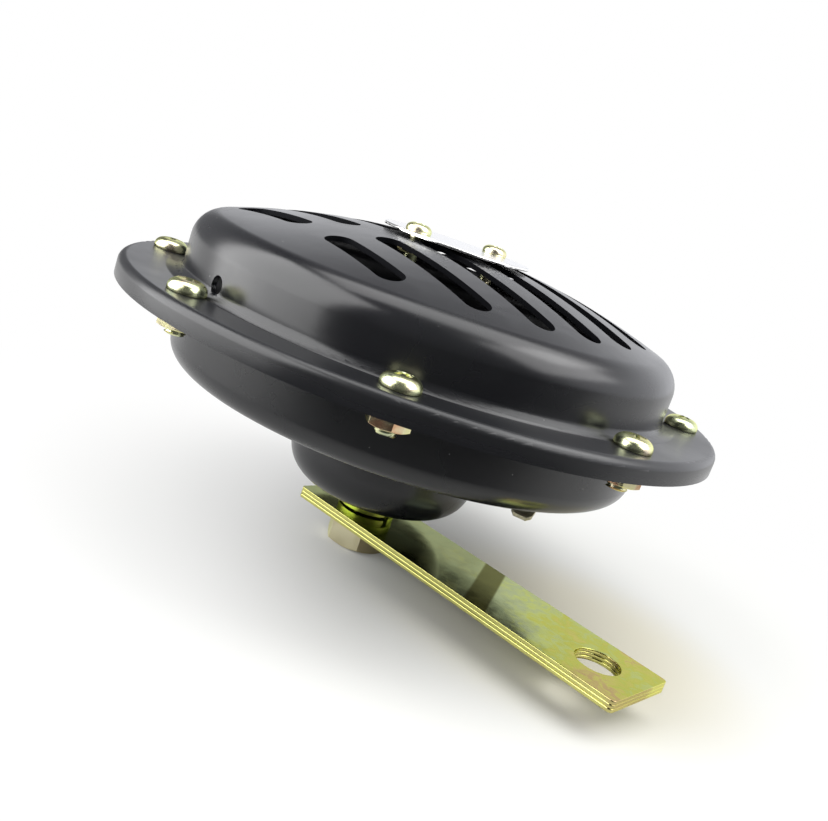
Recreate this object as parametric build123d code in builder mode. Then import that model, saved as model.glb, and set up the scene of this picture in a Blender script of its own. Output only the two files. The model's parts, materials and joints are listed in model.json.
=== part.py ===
from build123d import *
import math
import os

# Disc horn of an old car or lorry: a slotted black front cover and a drawn black rear housing are
# bolted together round the diaphragm, and a flat three-leaf bracket carries the housing on one bolt.
# The origin is the centre of the bracket's free mounting hole, half way through the leaves.
# +X runs from the horn out along the bracket to that hole, and +Z is the horn's axis, grille up.

# ---- driving dimensions (mm) ----
horn_diameter = 130.0
cover_sheet = 1.0
flange_width = 12.2  # outer edge to the cover's upright wall
crown_height = 20.7  # flange face to the top of the crown
crown_radius = 154.0  # the crown is a shallow part of a sphere
shoulder_radius = 6.4
wall_foot_radius = 1.5
rim_radius = 1.6  # bend from the flange down into its skirt
skirt_depth = 4.1
drain_hole = 3.6
drain_height = 2.3

slot_pitch = 11.4
slot_shift = -1.1  # the middle row lies a little towards the drain hole
slot_width = 5.7
slot_rows_each_side = 3
slot_margin = 8.8  # upright wall to the circle on which the outer slot ends lie
slot_land = 9.0  # plain strip across the middle

plate_diameter = 32.0
plate_sheet = 0.6
plate_screw_span = 23.0
plate_screw = 3.0
plate_head_diameter = 5.4
plate_head_height = 1.9
plate_screw_length = 6.5
plate_nut_across_flats = 5.5
plate_nut_height = 2.2

screw_count = 8
screw_edge_distance = 6.8
screw_size = 4.0
screw_head_diameter = 7.2
screw_head_height = 2.6
screw_tip = 1.2  # how far a screw stands out of its nut
nut_across_flats = 7.0
nut_height = 3.1

gasket_sheet = 0.4
diaphragm_sheet = 0.4
housing_sheet = 1.2
pan_step = 1.4  # how much smaller the pan's radius is than the cover's upright wall
pan_depth = 17.9  # flange face of the cover to the pan's outside bottom
pan_corner_radius = 4.6
cup_radius = 20.9
cup_depth = 18.6  # pan bottom to cup bottom, outside
cup_corner_radius = 8.2
cup_root_radius = 3.0

bolt_size = 8.0
bolt_head_across_flats = 13.0
bolt_head_height = 6.3
bolt_head_turn = 24.0  # degrees from the slots round to a corner of the head
bolt_grip = 9.0  # thread inside the pole core
ring_diameter = 12.8
spring_washer_height = 2.1
spring_washer_split = 1.2
plain_washer_height = 1.8

leaf_count = 3
leaf_thickness = 0.8
bracket_width = 20.6
bracket_reach = 64.0  # bolt to mounting hole
bracket_tail = 11.4  # bolt to the near end
bracket_nose = 9.9  # mounting hole to the free end
bracket_corner = 1.0
mounting_hole = 9.2
body_turn = -7.2  # degrees from the bracket to the slots

tone_disc_diameter = 84.0
tone_disc_sheet = 1.2
tone_disc_dish = 2.0
tone_disc_hub = 30.0
corrugation_radius = 32.0
corrugation_width = 5.0
corrugation_height = 1.2
stem_size = 6.0
stem_spacer_diameter = 16.0
stem_spacer_height = 2.4
stem_washer_height = 1.0
stem_nut_across_flats = 10.0
stem_nut_height = 5.0
stem_tip = 0.8
armature_diameter = 15.0
armature_gap = 1.0
striker_diameter = 24.0
striker_height = 1.0

core_diameter = 14.0
core_foot_margin = 0.7  # kept from the bend in the cup's bottom corner
core_foot_height = 3.0
core_height = 20.6
bobbin_clearance = 0.9  # between the bobbin's rim and the cup
bobbin_wall = 1.0
bobbin_height = 14.8
winding_depth = 1.0  # how far the winding lies below the bobbin's rim

breaker_angle = 90.0  # from the slots round to the contact breaker
breaker_base_width = 12.0
breaker_base_height = 3.0
breaker_end_distance = 2.6  # rivet to the end of the breaker's base
contact_arm_sheet = 0.6
contact_arm_width = 8.0
moving_arm_inner_end = 10.5  # reaches under the striker
fixed_arm_inner_end = 22.5
arm_spacer_height = 2.2
contact_radius = 25.0
contact_diameter = 4.0
breaker_rivet_spacing = 4.8
adjuster_size = 3.0
adjuster_nut_across_flats = 5.5
adjuster_nut_height = 2.4
adjuster_tail = 1.6
adjuster_slot = 0.8

terminal_angles = (25.8, 65.8)  # from the slots round to the two terminals
terminal_edge_distance = 11.6  # bend at the pan's bottom corner to the terminal's rivet
terminal_block_side = 8.4
terminal_block_height = 2.4
blade_width = 4.5
blade_sheet = 0.8
blade_base = 7.0
blade_tongue = 7.6
blade_bend = 30.0
blade_tip_chamfer = 0.9
rivet_size = 2.0
rivet_head_diameter = 3.6
rivet_head_height = 0.7

# ---- fits ----
hole_clearance = 0.3  # on a screw hole's diameter
thread_clearance = 0.05  # radial, between a screw and its nut
seat_clearance = 0.1
mechanism_clearance = 0.3
head_rounding = 0.5  # share of a screw head's height that is rounded over
tip_chamfer = 0.12  # share of a screw's size
hexagon_chamfer = 0.93  # flat face of a nut or a head, as a share of its width across flats

# ---- levels, all worked out from the bracket upwards ----
bracket_top = leaf_count * leaf_thickness / 2
cup_bottom = bracket_top + spring_washer_height + plain_washer_height
pan_bottom = cup_bottom + cup_depth
flange_top = pan_bottom + pan_depth
cover_under = flange_top - cover_sheet
diaphragm_top = cover_under - gasket_sheet
diaphragm_under = diaphragm_top - diaphragm_sheet
housing_top = diaphragm_under - gasket_sheet
housing_under = housing_top - housing_sheet

# ---- radii, all worked out from the flange inwards ----
horn_radius = horn_diameter / 2
dome_radius = horn_radius - flange_width
pan_radius = dome_radius - pan_step
slot_tip_radius = dome_radius - slot_margin
screw_circle_radius = horn_radius - screw_edge_distance
stack_radius = horn_radius - rim_radius - seat_clearance
gasket_inner_radius = dome_radius - cover_sheet
screw_hole = screw_size + hole_clearance
terminal_radius = pan_radius - pan_corner_radius - terminal_edge_distance

bolt_axis = Vector(-bracket_reach, 0, 0)
slot_direction = Vector(1, 0, 0).rotate(Axis.Z, body_turn)
horn = Plane(origin=bolt_axis, x_dir=slot_direction, z_dir=(0, 0, 1))
section = Plane(origin=bolt_axis, x_dir=horn.x_dir, z_dir=-horn.y_dir)
horn_axis = Axis(bolt_axis, (0, 0, 1))

os.makedirs("parts", exist_ok=True)


def save(part, name):
    part.label = name
    export_step(part, f"parts/{name}.step")


def level(height):
    """Horizontal plane of the horn at a height above the origin."""
    return horn.offset(height)


def turned(angle, radius, height):
    """Horizontal plane at an angle and a radius on the horn, with its x axis pointing outwards."""
    outwards = horn.x_dir.rotate(Axis.Z, angle)
    spot = bolt_axis + outwards * radius + Vector(0, 0, height)
    return Plane(origin=spot, x_dir=outwards, z_dir=(0, 0, 1))


def corner(sketch, radius, height):
    """The corner of a half section nearest to a radius and a height."""
    return sketch.vertices().sort_by_distance((radius, height))[0]


def hexagon(seat, across_flats, height):
    """Hexagonal block that hangs under its plane, with the corners of its free face cut back."""
    corner_radius = across_flats / math.sqrt(3)
    face_radius = across_flats / 2 * hexagon_chamfer
    side = Plane(origin=seat.origin, x_dir=seat.x_dir, z_dir=-seat.y_dir)
    with BuildPart() as block:
        with BuildSketch(seat):
            RegularPolygon(across_flats / 2, 6, major_radius=False)
        extrude(amount=-height)
        with BuildSketch(side):
            with BuildLine():
                Polyline(
                    (0, 0),
                    (corner_radius, 0),
                    (corner_radius, -height + (corner_radius - face_radius) / 2),
                    (face_radius, -height),
                    (0, -height),
                    close=True,
                )
            make_face()
        revolve(axis=Axis(seat.origin, seat.z_dir), mode=Mode.INTERSECT)
    return block.part


def hex_nut(seat, size, across_flats, height):
    """Hexagon nut that hangs under its plane, with a plain bore."""
    with BuildPart() as nut:
        add(hexagon(seat, across_flats, height))
        with BuildSketch(seat):
            Circle(size / 2 + thread_clearance)
        extrude(amount=-height, mode=Mode.SUBTRACT)
    return nut.part


def button_screw(seat, size, length, head_diameter, head_height):
    """Screw whose low round head stands on its plane, with a plain shank that points down."""
    with BuildPart() as screw:
        with BuildSketch(seat):
            Circle(head_diameter / 2)
        extrude(amount=head_height)
        fillet(screw.faces().sort_by(Axis.Z)[-1].edges(), head_height * head_rounding)
        with BuildSketch(seat):
            Circle(size / 2)
        extrude(amount=-length)
        chamfer(screw.faces().sort_by(Axis.Z)[0].edges(), size * tip_chamfer)
    return screw.part


def rivet(spot, under, top):
    """Rivet with a flat head at each end of the stack that it holds."""
    with BuildPart() as pin:
        with BuildSketch(spot.offset(under)):
            Circle(rivet_size / 2)
        extrude(amount=top - under)
        with BuildSketch(spot.offset(top)):
            Circle(rivet_head_diameter / 2)
        extrude(amount=rivet_head_height)
        with BuildSketch(spot.offset(under)):
            Circle(rivet_head_diameter / 2)
        extrude(amount=-rivet_head_height)
    return pin.part


def ring(seat, outer_diameter, inner_diameter, height):
    with BuildPart() as washer:
        with BuildSketch(seat):
            Circle(outer_diameter / 2)
            Circle(inner_diameter / 2, mode=Mode.SUBTRACT)
        extrude(amount=height)
    return washer.part


# ---- front cover ----
def cover_region(inset, foot):
    """Half section of all that lies under the cover's outside skin, drawn inwards by the inset."""
    rim = horn_radius - inset
    flange = flange_top - inset
    wall = dome_radius - inset
    sphere = crown_radius - inset
    sphere_centre = flange_top + crown_height - crown_radius
    crown = sphere_centre + sphere
    wall_top = sphere_centre + math.sqrt(sphere**2 - wall**2)
    with BuildSketch(section) as region:
        with BuildLine():
            Polyline((0, crown), (0, foot), (rim, foot), (rim, flange), (wall, flange), (wall, wall_top))
            RadiusArc((0, crown), (wall, wall_top), sphere)
        make_face()
        fillet(corner(region, rim, flange), rim_radius - inset)
        fillet(corner(region, wall, flange), wall_foot_radius + inset)
        fillet(corner(region, wall, wall_top), shoulder_radius - inset)
    return region.sketch


skirt_foot = flange_top - skirt_depth
plate_screw_spots = [(0, side * plate_screw_span / 2) for side in (-1, 1)]

with BuildPart() as front_cover:
    revolve(cover_region(0, skirt_foot), axis=horn_axis)
    revolve(cover_region(cover_sheet, skirt_foot - cover_sheet), axis=horn_axis, mode=Mode.SUBTRACT)
    with BuildSketch(level(flange_top + shoulder_radius)):
        for row in range(-slot_rows_each_side, slot_rows_each_side + 1):
            row_offset = row * slot_pitch + slot_shift
            row_tip = math.sqrt(slot_tip_radius**2 - row_offset**2)
            slot_middle = (row_tip + slot_land / 2) / 2
            with Locations((-slot_middle, row_offset), (slot_middle, row_offset)):
                SlotOverall(row_tip - slot_land / 2, slot_width)
    extrude(amount=crown_height, mode=Mode.SUBTRACT)
    with BuildSketch(level(flange_top + shoulder_radius)):
        with Locations(*plate_screw_spots):
            Circle((plate_screw + hole_clearance) / 2)
    extrude(amount=crown_height, mode=Mode.SUBTRACT)
    with BuildSketch(level(cover_under)):
        with PolarLocations(screw_circle_radius, screw_count):
            Circle(screw_hole / 2)
    extrude(amount=cover_sheet, mode=Mode.SUBTRACT)
    with BuildSketch(section):
        with Locations((0, flange_top + drain_height)):
            Circle(drain_hole / 2)
    extrude(amount=dome_radius + cover_sheet, mode=Mode.SUBTRACT)
save(front_cover.part, "front_cover")

# ---- name plate, flat on the crown, and its two screws ----
plate_under = flange_top + crown_height
plate_top = plate_under + plate_sheet
with BuildPart() as name_plate:
    with BuildSketch(level(plate_under)):
        Circle(plate_diameter / 2)
        with Locations(*plate_screw_spots):
            Circle((plate_screw + hole_clearance) / 2, mode=Mode.SUBTRACT)
    extrude(amount=plate_sheet)
    fillet(name_plate.edges().group_by(Axis.Z)[-1].sort_by(SortBy.LENGTH)[-1], plate_sheet / 2)
save(name_plate.part, "name_plate")


plate_screw_radius = plate_screw_span / 2
nut_corner = plate_screw_radius + plate_nut_across_flats / math.sqrt(3)
crown_inside = crown_radius - cover_sheet
crown_drop = crown_inside - math.sqrt(crown_inside**2 - nut_corner**2)
plate_nut_seat = plate_under - cover_sheet - crown_drop
for number, angle in enumerate((90, -90), start=1):
    spot = turned(angle, plate_screw_radius, 0)
    screw = button_screw(
        spot.offset(plate_top), plate_screw, plate_screw_length, plate_head_diameter, plate_head_height
    )
    nut = hex_nut(spot.offset(plate_nut_seat), plate_screw, plate_nut_across_flats, plate_nut_height)
    save(screw, f"name_plate_screw_{number}")
    save(nut, f"name_plate_nut_{number}")

# ---- flange screws and nuts ----
screw_length = flange_top - housing_under + nut_height + screw_tip
for number in range(1, screw_count + 1):
    spot = turned((number - 1) * 360 / screw_count, screw_circle_radius, 0)
    screw = button_screw(
        spot.offset(flange_top), screw_size, screw_length, screw_head_diameter, screw_head_height
    )
    nut = hex_nut(spot.offset(housing_under), screw_size, nut_across_flats, nut_height)
    save(screw, f"flange_screw_{number}")
    save(nut, f"flange_nut_{number}")


# ---- the stack clamped under the cover: gasket, diaphragm, gasket ----
def gasket(top):
    with BuildPart() as ring:
        with BuildSketch(level(top)):
            Circle(stack_radius)
            Circle(gasket_inner_radius, mode=Mode.SUBTRACT)
            with PolarLocations(screw_circle_radius, screw_count):
                Circle(screw_hole / 2, mode=Mode.SUBTRACT)
        extrude(amount=-gasket_sheet)
    return ring.part


save(gasket(cover_under), "upper_gasket")
save(gasket(diaphragm_under), "lower_gasket")

with BuildPart() as diaphragm:
    with BuildSketch(section):
        with BuildLine():
            wave = corrugation_width / 2
            Polyline((0, diaphragm_top), (corrugation_radius - wave, diaphragm_top))
            ThreePointArc(
                (corrugation_radius - wave, diaphragm_top),
                (corrugation_radius, diaphragm_top + corrugation_height),
                (corrugation_radius + wave, diaphragm_top),
            )
            Polyline(
                (corrugation_radius + wave, diaphragm_top),
                (stack_radius, diaphragm_top),
                (stack_radius, diaphragm_under),
                (corrugation_radius + wave, diaphragm_under),
            )
            ThreePointArc(
                (corrugation_radius + wave, diaphragm_under),
                (corrugation_radius, diaphragm_under + corrugation_height),
                (corrugation_radius - wave, diaphragm_under),
            )
            Polyline((corrugation_radius - wave, diaphragm_under), (0, diaphragm_under), (0, diaphragm_top))
        make_face()
    revolve(axis=horn_axis)
    with BuildSketch(level(diaphragm_top)):
        with PolarLocations(screw_circle_radius, screw_count):
            Circle(screw_hole / 2)
        Circle(stem_size / 2 + thread_clearance)
    extrude(amount=-diaphragm_sheet, mode=Mode.SUBTRACT)
save(diaphragm.part, "diaphragm")


# ---- rear housing: pan and coil cup drawn from one sheet ----
def housing_region(inset):
    """Half section of all that lies above the housing's outside skin, drawn inwards by the inset."""
    pan = pan_radius - inset
    cup = cup_radius - inset
    flange = housing_under + inset
    top = housing_top + inset
    with BuildSketch(section) as region:
        with BuildLine():
            Polyline(
                (0, top),
                (0, cup_bottom + inset),
                (cup, cup_bottom + inset),
                (cup, pan_bottom + inset),
                (pan, pan_bottom + inset),
                (pan, flange),
                (stack_radius, flange),
                (stack_radius, top),
                close=True,
            )
        make_face()
        fillet(corner(region, cup, cup_bottom + inset), cup_corner_radius - inset)
        fillet(corner(region, cup, pan_bottom + inset), cup_root_radius + inset)
        fillet(corner(region, pan, pan_bottom + inset), pan_corner_radius - inset)
        fillet(corner(region, pan, flange), wall_foot_radius + inset)
    return region.sketch


# The adjusting screw and then the breaker lie outwards from the cup's root, as close as they can.
adjuster_nut_corner = adjuster_nut_across_flats / math.sqrt(3)
adjuster_radius = cup_radius + cup_root_radius + mechanism_clearance + adjuster_nut_corner
inner_rivet_radius = adjuster_radius + adjuster_nut_corner + mechanism_clearance + rivet_head_diameter / 2
breaker_radius = inner_rivet_radius + breaker_rivet_spacing / 2
breaker_base_length = breaker_rivet_spacing + 2 * breaker_end_distance
adjuster_spot = turned(breaker_angle, adjuster_radius, 0)
terminal_spots = [turned(angle, terminal_radius, 0) for angle in terminal_angles]
breaker_spot = turned(breaker_angle, breaker_radius, 0)
breaker_rivet_spots = [
    turned(breaker_angle, breaker_radius + side * breaker_rivet_spacing / 2, 0) for side in (-1, 1)
]
rivet_hole = rivet_size / 2 + seat_clearance

with BuildPart() as rear_housing:
    revolve(housing_region(0), axis=horn_axis)
    revolve(housing_region(housing_sheet), axis=horn_axis, mode=Mode.SUBTRACT)
    with BuildSketch(level(housing_top)):
        with PolarLocations(screw_circle_radius, screw_count):
            Circle(screw_hole / 2)
    extrude(amount=-housing_sheet, mode=Mode.SUBTRACT)
    with BuildSketch(level(cup_bottom)):
        Circle((bolt_size + hole_clearance) / 2)
    extrude(amount=housing_sheet, mode=Mode.SUBTRACT)
    with BuildSketch(adjuster_spot.offset(pan_bottom)):
        Circle(adjuster_size / 2 + thread_clearance)
    extrude(amount=housing_sheet, mode=Mode.SUBTRACT)
    for spot in terminal_spots + breaker_rivet_spots:
        with BuildSketch(spot.offset(pan_bottom)):
            Circle(rivet_hole)
        extrude(amount=housing_sheet, mode=Mode.SUBTRACT)
save(rear_housing.part, "rear_housing")

# ---- contact breaker in the pan, and the adjusting screw that bears on it ----
pan_floor = pan_bottom + housing_sheet
breaker_base_top = pan_floor + breaker_base_height
fixed_arm_top = breaker_base_top + contact_arm_sheet
arm_spacer_top = fixed_arm_top + arm_spacer_height
moving_arm_top = arm_spacer_top + contact_arm_sheet
arm_outer_end = breaker_radius + breaker_base_length / 2


def insulating_block(length, width, foot, height):
    """Block of the breaker's stack, with its two rivet holes."""
    with BuildPart() as block:
        with BuildSketch(breaker_spot.offset(foot)):
            Rectangle(length, width)
            with GridLocations(breaker_rivet_spacing, 0, 2, 1):
                Circle(rivet_hole, mode=Mode.SUBTRACT)
        extrude(amount=height)
    return block.part


def contact_arm(inner_end, foot):
    """Flat spring strip with a round inner end and the two rivet holes."""
    reach = breaker_radius - inner_end - contact_arm_width / 2
    with BuildPart() as arm:
        with BuildSketch(breaker_spot.offset(foot)):
            with Locations(((arm_outer_end - breaker_radius - reach) / 2, 0)):
                Rectangle(arm_outer_end - breaker_radius + reach, contact_arm_width)
            with Locations((-reach, 0)):
                Circle(contact_arm_width / 2)
            with GridLocations(breaker_rivet_spacing, 0, 2, 1):
                Circle(rivet_hole, mode=Mode.SUBTRACT)
        extrude(amount=contact_arm_sheet)
    return arm.part


def contact_point(foot):
    with BuildPart() as point:
        with BuildSketch(turned(breaker_angle, contact_radius, foot)):
            Circle(contact_diameter / 2)
        extrude(amount=arm_spacer_height / 2)
    return point.part


breaker_base = insulating_block(breaker_base_length, breaker_base_width, pan_floor, breaker_base_height)
arm_spacer = insulating_block(breaker_base_length, contact_arm_width, fixed_arm_top, arm_spacer_height)
save(breaker_base, "breaker_base")
save(arm_spacer, "contact_arm_spacer")
save(contact_arm(fixed_arm_inner_end, breaker_base_top), "fixed_contact_arm")
save(contact_arm(moving_arm_inner_end, arm_spacer_top), "moving_contact_arm")
save(contact_point(fixed_arm_top), "fixed_contact_point")
save(contact_point(fixed_arm_top + arm_spacer_height / 2), "moving_contact_point")
for number, spot in enumerate(breaker_rivet_spots, start=1):
    save(rivet(spot, pan_bottom, moving_arm_top), f"breaker_rivet_{number}")

with BuildPart() as adjusting_screw:
    with BuildSketch(adjuster_spot.offset(breaker_base_top)):
        Circle(adjuster_size / 2)
    extrude(amount=-(breaker_base_top - pan_bottom + adjuster_nut_height + adjuster_tail))
    slotted_end = adjusting_screw.faces().sort_by(Axis.Z)[0]
    chamfer(slotted_end.edges(), adjuster_size * tip_chamfer)
    with BuildSketch(adjuster_spot.offset(pan_bottom - adjuster_nut_height - adjuster_tail)):
        Rectangle(2 * adjuster_size, adjuster_slot)
    extrude(amount=adjuster_tail, mode=Mode.SUBTRACT)
save(adjusting_screw.part, "adjusting_screw")
lock_nut_seat = adjuster_spot.offset(pan_bottom)
lock_nut = hex_nut(lock_nut_seat, adjuster_size, adjuster_nut_across_flats, adjuster_nut_height)
save(lock_nut, "adjusting_lock_nut")

# ---- two flat terminals on insulating blocks, behind the pan ----
block_under = pan_bottom - terminal_block_height
blade_under = block_under - blade_sheet
tongue_run = blade_tongue * math.cos(math.radians(blade_bend))
tongue_drop = blade_tongue * math.sin(math.radians(blade_bend))
for number, spot in enumerate(terminal_spots, start=1):
    with BuildPart() as block:
        with BuildSketch(spot.offset(block_under)):
            Rectangle(terminal_block_side, terminal_block_side)
            Circle(rivet_hole, mode=Mode.SUBTRACT)
        extrude(amount=terminal_block_height)
    save(block.part, f"terminal_insulator_{number}")
    blade_side = Plane(origin=spot.origin, x_dir=-spot.y_dir, z_dir=-spot.x_dir)
    with BuildPart() as blade:
        with BuildSketch(blade_side):
            with BuildLine():
                Polyline(
                    (-blade_base / 2, block_under),
                    (blade_base / 2, block_under),
                    (blade_base / 2 + tongue_run, block_under - tongue_drop),
                    (blade_base / 2 + tongue_run, blade_under - tongue_drop),
                    (blade_base / 2, blade_under),
                    (-blade_base / 2, blade_under),
                    close=True,
                )
            make_face()
        extrude(amount=blade_width / 2, both=True)
        tip_edges = blade.faces().sort_by(Axis(spot.origin, -spot.y_dir))[-1].edges().filter_by(Axis.Z)
        chamfer(tip_edges, blade_tip_chamfer)
        with BuildSketch(spot.offset(blade_under)):
            Circle(rivet_hole)
        extrude(amount=blade_sheet, mode=Mode.SUBTRACT)
    save(blade.part, f"terminal_blade_{number}")
    save(rivet(spot, blade_under, pan_floor), f"terminal_rivet_{number}")

# ---- tone disc and armature, clamped on the diaphragm by one stem ----
spacer_top = diaphragm_top + stem_spacer_height
tone_disc_top = spacer_top + tone_disc_sheet
stem_washer_top = tone_disc_top + stem_washer_height
stem_nut_top = stem_washer_top + stem_nut_height

stem_bore = stem_size + 2 * thread_clearance
save(ring(level(diaphragm_top), stem_spacer_diameter, stem_bore, stem_spacer_height), "tone_disc_spacer")
save(ring(level(tone_disc_top), stem_spacer_diameter, stem_bore, stem_washer_height), "stem_washer")
save(hex_nut(level(stem_nut_top), stem_size, stem_nut_across_flats, stem_nut_height), "stem_nut")

with BuildPart() as tone_disc:
    with BuildSketch(section):
        with BuildLine():
            Polyline(
                (stem_bore / 2, spacer_top),
                (tone_disc_hub / 2, spacer_top),
                (tone_disc_diameter / 2, spacer_top + tone_disc_dish),
                (tone_disc_diameter / 2, tone_disc_top + tone_disc_dish),
                (tone_disc_hub / 2, tone_disc_top),
                (stem_bore / 2, tone_disc_top),
                close=True,
            )
        make_face()
    revolve(axis=horn_axis)
save(tone_disc.part, "tone_disc")

core_floor = cup_bottom + housing_sheet
core_top = core_floor + core_height
armature_foot = core_top + armature_gap
striker_under = moving_arm_top + mechanism_clearance
with BuildPart() as armature:
    with BuildSketch(level(armature_foot)):
        Circle(armature_diameter / 2)
    extrude(amount=diaphragm_under - armature_foot)
    with BuildSketch(level(striker_under)):
        Circle(striker_diameter / 2)
    extrude(amount=striker_height)
    with BuildSketch(level(diaphragm_under)):
        Circle(stem_size / 2)
    extrude(amount=stem_nut_top + stem_tip - diaphragm_under)
    chamfer(armature.faces().sort_by(Axis.Z)[-1].edges(), stem_size * tip_chamfer)
save(armature.part, "armature")

# ---- electromagnet in the cup ----
cup_inner_corner = cup_corner_radius - housing_sheet
foot_below_corner = max(cup_inner_corner - core_foot_height, 0)
cup_flat_radius = cup_radius - cup_corner_radius
room_at_bobbin = cup_flat_radius + math.sqrt(cup_inner_corner**2 - foot_below_corner**2)
bobbin_radius = room_at_bobbin - bobbin_clearance

with BuildPart() as pole_core:
    with BuildSketch(level(core_floor)):
        Circle(cup_flat_radius - core_foot_margin)
    extrude(amount=core_foot_height)
    with BuildSketch(level(core_floor)):
        Circle(core_diameter / 2)
    extrude(amount=core_height)
    with BuildSketch(level(core_floor)):
        Circle(bolt_size / 2 + thread_clearance)
    extrude(amount=bolt_grip + seat_clearance, mode=Mode.SUBTRACT)
save(pole_core.part, "pole_core")

bobbin_under = core_floor + core_foot_height
bobbin_bore = core_diameter / 2 + seat_clearance
bobbin_barrel = bobbin_bore + bobbin_wall
with BuildPart() as coil_bobbin:
    with BuildSketch(level(bobbin_under)):
        Circle(bobbin_radius)
    extrude(amount=bobbin_height)
    with BuildSketch(level(bobbin_under + bobbin_wall)):
        Circle(bobbin_radius)
        Circle(bobbin_barrel, mode=Mode.SUBTRACT)
    extrude(amount=bobbin_height - 2 * bobbin_wall, mode=Mode.SUBTRACT)
    with BuildSketch(level(bobbin_under)):
        Circle(bobbin_bore)
    extrude(amount=bobbin_height, mode=Mode.SUBTRACT)
save(coil_bobbin.part, "coil_bobbin")

with BuildPart() as coil_winding:
    with BuildSketch(level(bobbin_under + bobbin_wall)):
        Circle(bobbin_radius - winding_depth)
        Circle(bobbin_barrel, mode=Mode.SUBTRACT)
    extrude(amount=bobbin_height - 2 * bobbin_wall)
save(coil_winding.part, "coil_winding")

# ---- bolt, washers and the three flat bracket leaves ----
washer_bore = bolt_size + 2 * seat_clearance
with BuildPart() as spring_washer:
    add(ring(level(bracket_top), ring_diameter, washer_bore, spring_washer_height))
    with BuildSketch(level(bracket_top)):
        with Locations((ring_diameter / 2, 0)):
            Rectangle(ring_diameter, spring_washer_split)
    extrude(amount=spring_washer_height, mode=Mode.SUBTRACT)
save(spring_washer.part, "spring_washer")

plain_washer_foot = level(bracket_top + spring_washer_height)
save(ring(plain_washer_foot, ring_diameter, washer_bore, plain_washer_height), "plain_washer")

with BuildPart() as mounting_bolt:
    add(hexagon(turned(bolt_head_turn, 0, -bracket_top), bolt_head_across_flats, bolt_head_height))
    with BuildSketch(level(-bracket_top)):
        Circle(bolt_size / 2)
    extrude(amount=bracket_top + core_floor + bolt_grip)
save(mounting_bolt.part, "mounting_bolt")

bracket_length = bracket_tail + bracket_reach + bracket_nose
for number in range(leaf_count):
    with BuildPart() as leaf:
        with BuildSketch(Plane.XY.offset(number * leaf_thickness - bracket_top)):
            with Locations((bracket_nose - bracket_length / 2, 0)):
                RectangleRounded(bracket_length, bracket_width, bracket_corner)
            Circle(mounting_hole / 2, mode=Mode.SUBTRACT)
            with Locations((-bracket_reach, 0)):
                Circle((bolt_size + hole_clearance) / 2, mode=Mode.SUBTRACT)
        extrude(amount=leaf_thickness)
    save(leaf.part, f"bracket_leaf_{number + 1}")
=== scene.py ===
# %% [markdown]
# # A disc horn on a flat bracket
# The horn is a slotted black cover and a drawn black housing, bolted together round a diaphragm.
# A packed engineering model already holds each piece at its real size, and this file gives the pieces
# their finishes, adds the forms that are too fine for that model, and sets up the light and the camera.
# Blender works in metres here, so a size of one millimetre is written as 1 * MM.

# %% Load the engineering model
import json
import math

import bmesh
import bpy
from mathutils import Matrix, Vector


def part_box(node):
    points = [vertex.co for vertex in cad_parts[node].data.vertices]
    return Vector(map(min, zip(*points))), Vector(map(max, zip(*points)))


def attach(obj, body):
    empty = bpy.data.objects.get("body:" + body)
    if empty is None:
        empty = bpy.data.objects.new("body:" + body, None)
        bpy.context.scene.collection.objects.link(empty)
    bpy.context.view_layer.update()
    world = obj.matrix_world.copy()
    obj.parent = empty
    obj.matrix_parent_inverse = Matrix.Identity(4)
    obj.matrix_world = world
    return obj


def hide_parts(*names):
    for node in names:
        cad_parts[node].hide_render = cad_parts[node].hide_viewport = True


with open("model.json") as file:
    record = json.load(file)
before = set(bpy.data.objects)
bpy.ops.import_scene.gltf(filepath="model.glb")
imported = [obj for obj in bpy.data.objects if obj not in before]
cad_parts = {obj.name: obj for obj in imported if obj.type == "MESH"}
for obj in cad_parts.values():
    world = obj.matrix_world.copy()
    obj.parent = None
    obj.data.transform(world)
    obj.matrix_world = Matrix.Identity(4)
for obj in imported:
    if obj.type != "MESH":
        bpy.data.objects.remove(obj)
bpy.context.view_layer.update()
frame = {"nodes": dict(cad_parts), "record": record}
MM = 0.001

# %% [markdown]
# ## Finding places from the model
# Each fine form has to sit on the solid that carries it. Rather than typing its place a second time,
# the script asks the loaded model for the boxes of its pieces and works the heights and the axis out
# from them. Only four sizes that no box gives are typed here.

# %% The horn's axis and its levels
HEAD_HEIGHT = 2.6 * MM  # a flange screw's head, which stands on the flange
FLANGE_WIDTH = 12.2 * MM  # from the upright wall out to the rim
SLOTS_DEPTH = 8 * MM  # every slot lies less than this below the crown's top
SLOTS_MARGIN = 8 * MM  # and at least this far inside the wall


def middle(node):
    low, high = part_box(node)
    return (low + high) / 2


def flattened(vector):
    """The same vector without its height."""
    return Vector((vector.x, vector.y, 0))


cover_low, cover_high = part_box("front_cover")
screw_low, screw_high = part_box("flange_screw_1")
housing_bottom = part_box("rear_housing")[0].z
plate_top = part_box("name_plate")[1].z
floor_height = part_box("mounting_bolt")[0].z
flange_height = screw_high.z - HEAD_HEIGHT
slots_start = cover_high.z - SLOTS_DEPTH
wall_radius = (cover_high.x - cover_low.x) / 2 - FLANGE_WIDTH
horn_axis = flattened(middle("front_cover"))
print("horn axis at", [round(v / MM, 2) for v in horn_axis], "mm")

# %% [markdown]
# ## Writing nodes as a formula
# A finish is a small program made of nodes, and so are the sky and the tree that repeats a screw.
# Linking nodes by hand hides what they compute, so one class wraps a node's output and gives it the
# usual operators, and an expression such as 1 - mask then makes its own Math nodes. Every other node
# comes from one method, which takes its type, its settings and the values of its sockets.

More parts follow.
